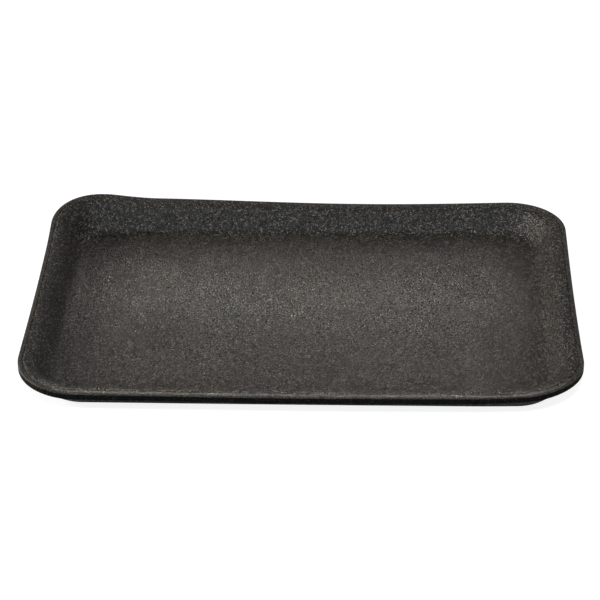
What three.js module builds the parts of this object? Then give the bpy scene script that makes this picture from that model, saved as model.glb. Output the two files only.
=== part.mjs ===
import * as THREE from 'three';

// A shallow tray for meat, pressed in one piece from a sheet of black foam: a flat floor, walls
// that lean out, a lip that rolls over a little outside a pressed groove, and a cut outer edge.
// Millimetres, +Z up. The origin is under the middle of the base, +X runs along the tray and
// +Y towards its back. The rim has sprung a little, as thin foam does, and the base is flat.

// Sizes over the lip
const trayLength = 209.55;
const trayWidth = 146.05;
const trayHeight = 12.7;
const cornerRadius = 24;

// Sheet, floor and wall
const foamThickness = 3;
const floorCornerRadius = 10;
const floorFillet = 6;
const wallSlopeDegrees = 55;
const lipBendUnderside = 3;

// Lip, from the cut edge inwards
const lipWidth = 1.5;
const lipDroop = 0.3;
const grooveWidth = 0.7;
const grooveDepth = 0.35;
const edgeRounding = 0.4;

// How far the rim has sprung: the long sides sag, two corners lift and the ends are drawn in
const backSag = 2.1;
const backSagRightOfMiddle = 25;
const frontSag = 0.7;
const backLeftLift = 2.9;
const frontRightLift = 1.5;
const liftReach = 36;
const endPinch = 0.5;

// Steps of the curved and sprung stretches
const sectionArcDivisions = 3;
const cornerSteps = 10;
const longSideSteps = 14;
const shortSideSteps = 9;

// Finish
const foamColour = 0x4a4642;
const foamRoughness = 0.72;

const quarterTurn = Math.PI / 2;
const wallSlope = THREE.MathUtils.degToRad(wallSlopeDegrees);

// Distances in the wall's section are measured outward from the cut edge, so they are negative.
// Both bends are concentric on their two faces, which keeps the sheet one thickness throughout.
const crestRadius = lipBendUnderside + foamThickness;
const heelRadius = floorFillet + foamThickness;
const bendsHeight = (crestRadius + floorFillet) * (1 - Math.cos(wallSlope));
const straightWallRun = (trayHeight - foamThickness - bendsHeight) / Math.tan(wallSlope);
const crestOut = -(lipWidth + grooveWidth);
const floorEdgeOut = crestOut - (crestRadius + floorFillet) * Math.sin(wallSlope) - straightWallRun;

// The section runs from the edge of the floor up the inside of the wall, over the lip, and back
// down the underside to the edge of the base.
function wallSection() {
  const floorBendHeight = foamThickness + floorFillet;
  const crestBendHeight = trayHeight - crestRadius;
  const lipUnderside = trayHeight - foamThickness;
  const edgeTop = trayHeight - lipDroop - edgeRounding;
  const edgeBottom = lipUnderside - lipDroop + edgeRounding;
  const section = new THREE.Path();

  section.moveTo(floorEdgeOut, foamThickness);
  section.absarc(floorEdgeOut, floorBendHeight, floorFillet, -quarterTurn, wallSlope - quarterTurn, false);
  section.absarc(crestOut, crestBendHeight, crestRadius, quarterTurn + wallSlope, quarterTurn, true);

  section.lineTo(crestOut + grooveWidth / 2, trayHeight - grooveDepth);
  section.lineTo(-lipWidth, trayHeight);
  section.quadraticCurveTo(-lipWidth / 2, trayHeight, -edgeRounding, edgeTop + edgeRounding);
  section.absarc(-edgeRounding, edgeTop, edgeRounding, quarterTurn, 0, true);
  section.absarc(-edgeRounding, edgeBottom, edgeRounding, 0, -quarterTurn, true);

  section.lineTo(-lipWidth, lipUnderside);
  section.lineTo(crestOut, lipUnderside);
  section.absarc(crestOut, crestBendHeight, lipBendUnderside, quarterTurn, quarterTurn + wallSlope, false);
  section.absarc(floorEdgeOut, floorBendHeight, heelRadius, wallSlope - quarterTurn, -quarterTurn, true);
  return section.getPoints(sectionArcDivisions);
}

// One level line round the tray, anticlockwise from where the right end meets its back corner.
// Its corners tighten from the lip's radius to the floor's as it moves in.
function outlineAt(outward) {
  const halfLength = trayLength / 2 + outward;
  const halfWidth = trayWidth / 2 + outward;
  const radius = THREE.MathUtils.mapLinear(outward, 0, floorEdgeOut, cornerRadius, floorCornerRadius);
  const acrossX = halfLength - radius;
  const acrossY = halfWidth - radius;
  const corners = [
    [acrossX, acrossY, longSideSteps],
    [-acrossX, acrossY, shortSideSteps],
    [-acrossX, -acrossY, longSideSteps],
    [acrossX, -acrossY, shortSideSteps],
  ];
  const arcs = corners.map(([x, y], turn) => {
    const start = turn * quarterTurn;
    return new THREE.ArcCurve(x, y, radius, start, start + quarterTurn, false).getPoints(cornerSteps);
  });
  return arcs.flatMap((arc, turn) => {
    const steps = corners[turn][2];
    const side = new THREE.LineCurve(arc.at(-1), arcs[(turn + 1) % arcs.length][0]);
    return [...arc, ...side.getPoints(steps).slice(1, -1)];
  });
}

// A smooth hump, 1 at its middle and 0 from the given reach on.
function hump(distance, reach) {
  const share = Math.min(Math.abs(distance) / reach, 1);
  return Math.cos(share * quarterTurn) ** 2;
}

// Lift of one corner of the rim, largest at the middle of its rounding.
function cornerLift(x, y, sideX, sideY, lift) {
  const inset = cornerRadius * (1 - Math.SQRT1_2);
  const fromMiddle = Math.hypot(
    x - sideX * (trayLength / 2 - inset),
    y - sideY * (trayWidth / 2 - inset),
  );
  return lift * hump(fromMiddle, liftReach);
}

// The sprung place of a point. The movement grows from nothing at the edge of the floor to its
// full size at the lip, so the floor and the base stay flat.
function sprung(x, y, z, outward) {
  const share = THREE.MathUtils.smoothstep(outward, floorEdgeOut, crestOut);
  const towardsBack = y / (trayWidth / 2);
  const towardsEnd = x / (trayLength / 2);
  const sag = towardsBack > 0
    ? backSag * hump(x - backSagRightOfMiddle, trayLength / 2)
    : frontSag * hump(x, trayLength / 2);
  const lift = cornerLift(x, y, -1, 1, backLeftLift) + cornerLift(x, y, 1, -1, frontRightLift);
  const drawnIn = endPinch * hump(y, trayWidth / 2) * towardsEnd ** 3;
  return [
    x - share * drawnIn,
    y,
    z + share * (lift - sag * towardsBack ** 2),
  ];
}

// Joins the outlines of all points of the section into one closed skin, and closes it with the
// flat floor inside and the flat base outside.
function trayGeometry() {
  const section = wallSection();
  const outlines = section.map((point) => outlineAt(point.x));
  const around = outlines[0].length;
  const last = section.length - 1;

  const positions = section.flatMap((point, level) => (
    outlines[level].flatMap((place) => sprung(place.x, place.y, point.y, point.x))
  ));

  const triangles = [];
  for (let level = 0; level < last; level += 1) {
    for (let place = 0; place < around; place += 1) {
      const next = (place + 1) % around;
      const inner = level * around;
      const outer = inner + around;
      triangles.push(inner + place, outer + place, outer + next);
      triangles.push(inner + place, outer + next, inner + next);
    }
  }
  THREE.ShapeUtils.triangulateShape(outlines[0], []).forEach(([a, b, c]) => {
    triangles.push(a, b, c);
  });
  THREE.ShapeUtils.triangulateShape(outlines[last], []).forEach(([a, b, c]) => {
    const base = last * around;
    triangles.push(base + a, base + c, base + b);
  });

  const geometry = new THREE.BufferGeometry();
  geometry.setAttribute('position', new THREE.Float32BufferAttribute(positions, 3));
  geometry.setIndex(triangles);
  geometry.computeVertexNormals();
  return geometry;
}

const blackFoam = new THREE.MeshStandardMaterial({
  color: foamColour,
  roughness: foamRoughness,
  metalness: 0,
});

const tray = new THREE.Mesh(trayGeometry(), blackFoam);
tray.name = 'tray';

const meatTray = new THREE.Group();
meatTray.add(tray);

export default meatTray;
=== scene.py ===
import math

import bpy
import numpy as np
from mathutils import Matrix, Vector


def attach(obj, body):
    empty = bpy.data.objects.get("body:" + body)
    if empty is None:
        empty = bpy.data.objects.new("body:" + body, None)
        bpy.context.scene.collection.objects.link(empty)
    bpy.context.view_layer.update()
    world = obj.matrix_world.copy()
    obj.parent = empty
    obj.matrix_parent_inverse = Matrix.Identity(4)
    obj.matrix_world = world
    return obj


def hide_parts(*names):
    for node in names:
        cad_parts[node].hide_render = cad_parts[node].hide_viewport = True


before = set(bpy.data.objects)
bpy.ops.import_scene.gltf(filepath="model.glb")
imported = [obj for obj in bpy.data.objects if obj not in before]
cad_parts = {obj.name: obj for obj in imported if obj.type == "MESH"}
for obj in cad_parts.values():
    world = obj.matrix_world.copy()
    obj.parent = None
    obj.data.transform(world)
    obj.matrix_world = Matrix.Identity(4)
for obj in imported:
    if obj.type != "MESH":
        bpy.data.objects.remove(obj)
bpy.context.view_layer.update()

# Sizes of the tray in metres, the same as the solid's but for the roll of the lip
MM = 0.001
HALF_LENGTH = 209.55 * MM / 2
HALF_WIDTH = 146.05 * MM / 2
HEIGHT = 12.7 * MM
CORNER_RADIUS = 24 * MM
FOAM = 3 * MM
FLOOR_CORNER_RADIUS = 10 * MM
FLOOR_FILLET = 6 * MM
WALL_SLOPE = math.radians(55)
LIP_BEND = 3 * MM
LIP_WIDTH = 1.5 * MM
LIP_DROOP = 0.3 * MM
LIP_ROLL = 0.32 * MM
LIP_ROLL_PULL = (-0.35 * MM, 0.05 * MM)
GROOVE_WIDTH = 0.7 * MM
GROOVE_DEPTH = 0.35 * MM
EDGE_ROUNDING = 0.4 * MM

# How far the rim has sprung
BACK_SAG = 2.1 * MM
BACK_SAG_RIGHT_OF_MIDDLE = 25 * MM
FRONT_SAG = 0.7 * MM
BACK_LEFT_LIFT = 2.9 * MM
FRONT_RIGHT_LIFT = 1.5 * MM
LIFT_REACH = 36 * MM
END_PINCH = 0.5 * MM

# Places in the section, measured outward from the cut edge
CREST_RADIUS = LIP_BEND + FOAM
HEEL_RADIUS = FLOOR_FILLET + FOAM
BENDS_HEIGHT = (CREST_RADIUS + FLOOR_FILLET) * (1 - math.cos(WALL_SLOPE))
WALL_RUN = (HEIGHT - FOAM - BENDS_HEIGHT) / math.tan(WALL_SLOPE)
CREST_OUT = -(LIP_WIDTH + GROOVE_WIDTH)
FLOOR_EDGE_OUT = CREST_OUT - (CREST_RADIUS + FLOOR_FILLET) * math.sin(WALL_SLOPE) - WALL_RUN

# Fineness of the mesh
CORNER_STEPS = 24
LONG_STEPS = 150
SHORT_STEPS = 100
FLOOR_RINGS = 44
BASE_RINGS = 16
MIDDLE_WIDTH = 0.6 * MM

# Camera, fitted to the outline: angles, distance and the point near the lip's level it looks at
CAMERA_AZIMUTH = math.radians(-2.16)
CAMERA_ELEVATION = math.radians(31.55)
CAMERA_ROLL = math.radians(-0.61)
CAMERA_DISTANCE = 871.7 * MM
CAMERA_TARGET = Vector((-1.3 * MM, -7.35 * MM, 12.47 * MM))
FOCAL_PIXELS = 2261
FRAME_PIXELS = 600
SENSOR_WIDTH = 36

FLOOR_GAP = 0.05 * MM
FLOOR_REACH = 3.0

# Colours, as the renderer adds them up
FOAM_COLOUR = (0.059, 0.045, 0.031)
CUT_COLOUR = (0.006, 0.0055, 0.005)

# Colours of the lamps
WARM = (1, 0.95, 0.88)
COOL = (0.84, 0.92, 1)

# Grain: the domes and the finer grain on them. The dome shades are factors on the colour from the
# top
# of a dome to the crease round it: painted highlight on the top and painted shade in the crease.
# The other shades are factors over the random order of the domes of each finish: random tone, and
# on the skin and the cut edge the lightest domes are painted glints.
GRAIN_TURN = (0.6, 0.35, 0.5)
DOMES_PER_METRE = 1900
GRAINS_PER_METRE = 2600
DOME_PAINTED_SHADE = ((0.0, 2.2), (0.25, 1.5), (0.45, 0.5), (0.65, 0.1))
SKIN_TONE_AND_GLINTS = ((0.0, 0.02), (0.5, 0.25), (0.8, 2.2), (1.0, 5.0))
LIP_SHADES = ((0.0, 0.8), (0.5, 1.1), (0.85, 1.3), (1.0, 2.0))
CUT_TONE_AND_GLINTS = ((0.0, 0.1), (0.5, 0.3), (0.85, 1.5), (1.0, 5.5))
GLOSS_RANGE = 0.2

# Finishes in the order of their places in the mesh, and each one's colour, shades (random tone
# with painted glints), roughness, specular level and the depths of its domes and of its finer
# grain
SKIN, CUT, LIP = range(3)
FINISHES = (
    ("foam_skin", FOAM_COLOUR, SKIN_TONE_AND_GLINTS, 0.38, 0.5, 0.22 * MM, 0.1 * MM),
    ("foam_cut_edge", CUT_COLOUR, CUT_TONE_AND_GLINTS, 0.7, 0.12, 0.5 * MM, 0.3 * MM),
    ("foam_lip", FOAM_COLOUR, LIP_SHADES, 0.42, 0.5, 0.12 * MM, 0.08 * MM),
)

# Lamps: name, place, aim, size, watts, spread in degrees and colour. The three strips are narrow
# beams, two on the floor and one on the front lip.
LAMPS = (
    ("floor_strip", (0, 0.5, 0.4), (-0.002, 0.005, 0), (0.165, 0.034), 0.0112, 4.3, WARM),
    ("front_strip", (0, 0.35, 0.46), (0, -0.048, 0), (0.17, 0.014), 0.0036, 3.8, WARM),
    ("lip_strip", (0, 0.35, 0.46), (0, -0.0715, 0.0125), (0.185, 0.006), 0.005, 2.6, WARM),
    ("left_panel", (-1.0, 0.25, 0.3), (0.09, 0, 0), (0.5, 0.3), 7.0, 180, WARM),
    ("overhead", (0.05, -0.62, 0.6), (0, 0.06, 0), (0.05, 0.04), 3.2, 180, COOL),
)
ROOM_LIGHT = 0.3


# Shape

def arc(centre_out, centre_height, radius, start, end, steps):
    """Points of a round stretch of the section, without its first."""
    angles = np.linspace(start, end, steps + 1)[1:]
    return [
        (centre_out + radius * math.cos(a), centre_height + radius * math.sin(a))
        for a in angles
    ]


def line(start, end, steps):
    """Points of a straight stretch of the section, without its first."""
    shares = np.linspace(0, 1, steps + 1)[1:]
    return [tuple(np.array(start) * (1 - s) + np.array(end) * s) for s in shares]


def roll(start, middle, end, steps):
    """Points of a curve drawn towards its middle point, without its first."""
    start, middle, end = (np.array(point) for point in (start, middle, end))
    shares = np.linspace(0, 1, steps + 1)[1:]
    return [
        tuple(start * (1 - s) ** 2 + 2 * middle * s * (1 - s) + end * s * s)
        for s in shares
    ]


def wall_section():
    """The section from the floor over the lip to the base, as points and as the places where the
    lip and the cut edge start and where the cut edge ends."""
    quarter = math.pi / 2
    floor_bend = FOAM + FLOOR_FILLET
    crest_bend = HEIGHT - CREST_RADIUS
    underside = HEIGHT - FOAM
    edge_bottom = underside - LIP_DROOP + EDGE_ROUNDING
    wall_top = arc(CREST_OUT, crest_bend, CREST_RADIUS, quarter, quarter + WALL_SLOPE, 1)[0]
    wall_foot = arc(FLOOR_EDGE_OUT, floor_bend, HEEL_RADIUS, -quarter, WALL_SLOPE - quarter, 1)[0]
    groove_middle = (CREST_OUT + GROOVE_WIDTH / 2, HEIGHT - GROOVE_DEPTH)
    lip_start = (-LIP_WIDTH, HEIGHT)
    lip_end = (0, HEIGHT - LIP_ROLL)

    points = [(FLOOR_EDGE_OUT, FOAM)]
    points += arc(FLOOR_EDGE_OUT, floor_bend, FLOOR_FILLET, -quarter, WALL_SLOPE - quarter, 7)
    points += line(points[-1], wall_top, 6)
    points += arc(CREST_OUT, crest_bend, CREST_RADIUS, quarter + WALL_SLOPE, quarter, 6)
    points += line(points[-1], groove_middle, 3)
    points += line(points[-1], lip_start, 3)
    lip_level = len(points)
    lip_pull = (LIP_ROLL_PULL[0], HEIGHT - LIP_ROLL_PULL[1])
    points += roll(lip_start, lip_pull, lip_end, 9)
    cut_start = len(points)
    points += line(points[-1], (0, edge_bottom), 4)
    points += arc(-EDGE_ROUNDING, edge_bottom, EDGE_ROUNDING, 0, -quarter, 3)
    cut_end = len(points)
    points += line(points[-1], (-LIP_WIDTH, underside), 1)
    points += line(points[-1], (CREST_OUT, underside), 1)
    points += arc(CREST_OUT, crest_bend, LIP_BEND, quarter, quarter + WALL_SLOPE, 3)
    points += line(points[-1], wall_foot, 3)
    points += arc(FLOOR_EDGE_OUT, floor_bend, HEEL_RADIUS, WALL_SLOPE - quarter, -quarter, 5)
    return points, (lip_level, cut_start, cut_end)


def outline_at(outward):
    """One level line round the tray, as x and y, anticlockwise from the right end."""
    share = outward / FLOOR_EDGE_OUT
    radius = CORNER_RADIUS + (FLOOR_CORNER_RADIUS - CORNER_RADIUS) * min(share, 1)
    half_length = HALF_LENGTH + outward
    half_width = HALF_WIDTH + outward
    radius = min(radius, 0.9 * half_width)
    across = np.array([half_length - radius, half_width - radius])
    angles = np.linspace(0, math.pi / 2, CORNER_STEPS + 1)
    signs = [(1, 1), (-1, 1), (-1, -1), (1, -1)]
    arcs = []
    for turn, sign in enumerate(signs):
        turned = angles + turn * math.pi / 2
        arcs.append(across * sign + radius * np.stack([np.cos(turned), np.sin(turned)], 1))
    pieces = []
    for turn in range(4):
        steps = LONG_STEPS if turn % 2 == 0 else SHORT_STEPS
        shares = np.linspace(0, 1, steps + 1)[1:-1, None]
        side = arcs[turn][-1] * (1 - shares) + arcs[(turn + 1) % 4][0] * shares
        pieces += [arcs[turn], side]
    return np.concatenate(pieces)


def hump(distance, reach):
    share = np.minimum(np.abs(distance) / reach, 1)
    return np.cos(share * math.pi / 2) ** 2


def corner_lift(x, y, side_x, side_y, lift):
    inset = CORNER_RADIUS * (1 - math.sqrt(0.5))
    middle_x = side_x * (HALF_LENGTH - inset)
    middle_y = side_y * (HALF_WIDTH - inset)
    return lift * hump(np.hypot(x - middle_x, y - middle_y), LIFT_REACH)


def sprung(places, height, outward):
    """Moves a level line to where the sprung rim takes it."""
    x, y = places[:, 0], places[:, 1]
    share = np.clip((outward - FLOOR_EDGE_OUT) / (CREST_OUT - FLOOR_EDGE_OUT), 0, 1)
    share = share * share * (3 - 2 * share)
    towards_back = y / HALF_WIDTH
    back = BACK_SAG * hump(x - BACK_SAG_RIGHT_OF_MIDDLE, HALF_LENGTH)
    front = FRONT_SAG * hump(x, HALF_LENGTH)
    sag = np.where(y > 0, back, front) * towards_back ** 2
    lift = corner_lift(x, y, -1, 1, BACK_LEFT_LIFT) + corner_lift(x, y, 1, -1, FRONT_RIGHT_LIFT)
    drawn_in = END_PINCH * hump(y, HALF_WIDTH) * (x / HALF_LENGTH) ** 3
    return np.stack([x - share * drawn_in, y, height + share * (lift - sag)], 1)


def level_lines():
    """All level lines, from the middle of the floor out over the lip and back under it."""
    middle_out = MIDDLE_WIDTH - HALF_WIDTH
    floor = [(o, FOAM) for o in np.linspace(middle_out, FLOOR_EDGE_OUT, FLOOR_RINGS + 1)[:-1]]
    base = [(o, 0.0) for o in np.linspace(FLOOR_EDGE_OUT, middle_out, BASE_RINGS + 1)[1:]]
    wall, cut = wall_section()
    return floor + wall + base, [len(floor) + place for place in cut]


def tray_mesh():
    lines, (lip, cut_start, cut_end) = level_lines()
    rings = [sprung(outline_at(outward), height, outward) for outward, height in lines]
    around = len(rings[0])
    places = np.concatenate(rings)
    place = np.arange(around)
    after = (place + 1) % around
    faces = []
    finishes = []
    for level in range(len(rings) - 1):
        inner = level * around
        outer = inner + around
        quads = np.stack([inner + place, outer + place, outer + after, inner + after], 1)
        faces += quads.tolist()
        if lip <= level + 1 <= cut_start:
            finish = LIP
        elif cut_start < level + 1 < cut_end:
            finish = CUT
        else:
            finish = SKIN
        finishes += [finish] * around
    faces.append(place.tolist())
    faces.append((len(rings) * around - 1 - place).tolist())
    finishes += [SKIN, SKIN]
    mesh = bpy.data.meshes.new("foam_tray")
    mesh.from_pydata(places.tolist(), [], faces)
    mesh.polygons.foreach_set("material_index", finishes)
    mesh.shade_smooth()
    tray = bpy.data.objects.new("foam_tray", mesh)
    bpy.context.scene.collection.objects.link(tray)
    return tray


# Materials

def node(tree, kind, **settings):
    made = tree.nodes.new(kind)
    for name, value in settings.items():
        if name in made.inputs:
            made.inputs[name].default_value = value
        else:
            setattr(made, name, value)
    return made


def ramp(tree, stops):
    """A colour ramp through the given places and colours."""
    made = node(tree, "ShaderNodeValToRGB")
    elements = made.color_ramp.elements
    while len(elements) < len(stops):
        elements.new(0.5)
    for element, (place, colour) in zip(elements, stops):
        element.position = place
        element.color = (*colour, 1)
    return made


def cell_tint(factor):
    """The factor as a colour, a little cooler where it is lighter, as painted glints of the cool
    lamp.
    """
    return factor * (1.04 - 0.04 * factor), factor, factor * (0.94 + 0.06 * factor)


def foam_material(name, colour, cell_tones_and_glints, roughness, specular, dome, pimple):
    """Foam: small domes with a painted highlight on top and painted shade between, each of its
    own random shade and gloss, the lightest domes painted glints.
    """
    material = bpy.data.materials.new(name)
    material.use_nodes = True
    tree = material.node_tree
    shader = tree.nodes["Principled BSDF"]
    shader.inputs["Specular IOR Level"].default_value = specular

    coordinates = node(tree, "ShaderNodeTexCoord")
    turned = node(tree, "ShaderNodeMapping", Rotation=GRAIN_TURN)
    domes = node(tree, "ShaderNodeTexVoronoi", Scale=DOMES_PER_METRE)
    grain = node(tree, "ShaderNodeTexNoise", Scale=GRAINS_PER_METRE, Detail=1.0)
    patches = node(tree, "ShaderNodeTexNoise", Scale=60, Detail=3.0)
    parts = node(tree, "ShaderNodeSeparateColor")
    dome_bump = node(tree, "ShaderNodeBump", invert=True, Strength=1.0, Distance=dome)
    grain_bump = node(tree, "ShaderNodeBump", Strength=1.0, Distance=pimple)

    # Painted highlight on each dome's top and painted shade in the crease round it
    painted_dome_shade = ramp(tree, [(place, [factor * c for c in colour]) for place, factor in DOME_PAINTED_SHADE])
    # Random tone of each dome, cooler where lighter; the lightest domes are painted glints
    cell = ramp(tree, [(place, cell_tint(factor)) for place, factor in cell_tones_and_glints])
    gloss = node(tree, "ShaderNodeMapRange")
    gloss.inputs["To Min"].default_value = roughness - GLOSS_RANGE
    gloss.inputs["To Max"].default_value = roughness + GLOSS_RANGE
    drift = node(tree, "ShaderNodeMapRange")
    drift.inputs["From Min"].default_value = 0.3
    drift.inputs["From Max"].default_value = 0.7
    drift.inputs["To Min"].default_value = 0.9
    drift.inputs["To Max"].default_value = 1.1
    shaded = node(tree, "ShaderNodeVectorMath", operation="MULTIPLY")
    tinted = node(tree, "ShaderNodeVectorMath", operation="SCALE")

    tree.links.new(coordinates.outputs["Object"], turned.inputs["Vector"])
    for texture in (domes, grain, patches):
        tree.links.new(turned.outputs["Vector"], texture.inputs["Vector"])
    tree.links.new(domes.outputs["Distance"], painted_dome_shade.inputs["Fac"])
    tree.links.new(domes.outputs["Color"], parts.inputs["Color"])
    tree.links.new(parts.outputs["Red"], cell.inputs["Fac"])
    tree.links.new(parts.outputs["Green"], gloss.inputs["Value"])
    tree.links.new(patches.outputs["Fac"], drift.inputs["Value"])
    tree.links.new(painted_dome_shade.outputs["Color"], shaded.inputs[0])
    tree.links.new(cell.outputs["Color"], shaded.inputs[1])
    tree.links.new(shaded.outputs["Vector"], tinted.inputs[0])
    tree.links.new(drift.outputs["Result"], tinted.inputs["Scale"])
    tree.links.new(domes.outputs["Distance"], dome_bump.inputs["Height"])
    tree.links.new(grain.outputs["Fac"], grain_bump.inputs["Height"])
    tree.links.new(dome_bump.outputs["Normal"], grain_bump.inputs["Normal"])
    tree.links.new(tinted.outputs["Vector"], shader.inputs["Base Color"])
    tree.links.new(gloss.outputs["Result"], shader.inputs["Roughness"])
    tree.links.new(grain_bump.outputs["Normal"], shader.inputs["Normal"])
    return material


def floor_material():
    """Pale floor that the camera sees as white, apart from the shadow on it, and sees through
    from below."""
    material = bpy.data.materials.new("pale_floor")
    material.use_nodes = True
    tree = material.node_tree
    tree.nodes.clear()
    seen = node(tree, "ShaderNodeLightPath")
    plain = node(tree, "ShaderNodeBsdfDiffuse", Color=(0.7, 0.7, 0.7, 1))
    white = node(tree, "ShaderNodeBsdfDiffuse", Color=(0.4, 0.4, 0.4, 1))
    glow = node(tree, "ShaderNodeEmission", Color=(1, 1, 1, 1), Strength=0.86)
    bright = node(tree, "ShaderNodeAddShader")
    mix = node(tree, "ShaderNodeMixShader")
    side = node(tree, "ShaderNodeNewGeometry")
    clear = node(tree, "ShaderNodeBsdfTransparent")
    sides = node(tree, "ShaderNodeMixShader")
    output = node(tree, "ShaderNodeOutputMaterial")
    tree.links.new(white.outputs["BSDF"], bright.inputs[0])
    tree.links.new(glow.outputs["Emission"], bright.inputs[1])
    tree.links.new(seen.outputs["Is Camera Ray"], mix.inputs["Fac"])
    tree.links.new(plain.outputs["BSDF"], mix.inputs[1])
    tree.links.new(bright.outputs["Shader"], mix.inputs[2])
    tree.links.new(side.outputs["Backfacing"], sides.inputs["Fac"])
    tree.links.new(mix.outputs["Shader"], sides.inputs[1])
    tree.links.new(clear.outputs["BSDF"], sides.inputs[2])
    tree.links.new(sides.outputs["Shader"], output.inputs["Surface"])
    return material


# Studio

def floor():
    """The floor, a hair below the base so that the two faces don't share a plane."""
    mesh = bpy.data.meshes.new("floor")
    signs = ((-1, -1), (1, -1), (1, 1), (-1, 1))
    corners = [(x * FLOOR_REACH, y * FLOOR_REACH, 0) for x, y in signs]
    mesh.from_pydata(corners, [], [(0, 1, 2, 3)])
    plane = bpy.data.objects.new("floor", mesh)
    plane.data.materials.append(floor_material())
    bpy.context.scene.collection.objects.link(plane)
    plane.location.z = -FLOOR_GAP


def area_light(name, place, aim, size, watts, spread, colour):
    lamp = bpy.data.lights.new(name, "AREA")
    lamp.shape = "RECTANGLE"
    lamp.size, lamp.size_y = size
    lamp.energy = watts
    lamp.spread = math.radians(spread)
    lamp.color = colour
    holder = bpy.data.objects.new(name, lamp)
    holder.location = place
    holder.rotation_euler = (Vector(aim) - Vector(place)).to_track_quat("-Z", "Y").to_euler()
    bpy.context.scene.collection.objects.link(holder)


def lights():
    for lamp in LAMPS:
        area_light(*lamp)
    world = bpy.data.worlds.new("studio")
    world.use_nodes = True
    backdrop = world.node_tree
    background = backdrop.nodes["Background"]
    background.inputs["Color"].default_value = (1, 1, 1, 1)
    seen = node(backdrop, "ShaderNodeLightPath")
    strength = node(backdrop, "ShaderNodeMapRange")
    strength.inputs["To Min"].default_value = ROOM_LIGHT
    strength.inputs["To Max"].default_value = 1.0
    backdrop.links.new(seen.outputs["Is Camera Ray"], strength.inputs["Value"])
    backdrop.links.new(strength.outputs["Result"], background.inputs["Strength"])
    bpy.context.scene.world = world


def camera():
    """Looks at the target from the fitted angles, turned by the fitted roll."""
    forward = Vector((
        math.sin(CAMERA_AZIMUTH) * math.cos(CAMERA_ELEVATION),
        math.cos(CAMERA_AZIMUTH) * math.cos(CAMERA_ELEVATION),
        -math.sin(CAMERA_ELEVATION),
    ))
    level = Vector((math.cos(CAMERA_AZIMUTH), -math.sin(CAMERA_AZIMUTH), 0))
    upward = level.cross(forward)
    right = math.cos(CAMERA_ROLL) * level + math.sin(CAMERA_ROLL) * upward
    top = math.cos(CAMERA_ROLL) * upward - math.sin(CAMERA_ROLL) * level
    lens = bpy.data.cameras.new("camera")
    lens.sensor_width = SENSOR_WIDTH
    lens.lens = FOCAL_PIXELS / FRAME_PIXELS * SENSOR_WIDTH
    lens.clip_end = 20
    holder = bpy.data.objects.new("camera", lens)
    turn = Matrix((right, top, -forward)).transposed().to_4x4()
    holder.matrix_world = Matrix.Translation(CAMERA_TARGET - CAMERA_DISTANCE * forward) @ turn
    bpy.context.scene.collection.objects.link(holder)
    bpy.context.scene.camera = holder


tray = tray_mesh()
for finish in FINISHES:
    tray.data.materials.append(foam_material(*finish))
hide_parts("tray")
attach(tray, "root")
floor()
lights()
camera()
bpy.context.scene.view_settings.view_transform = "Standard"
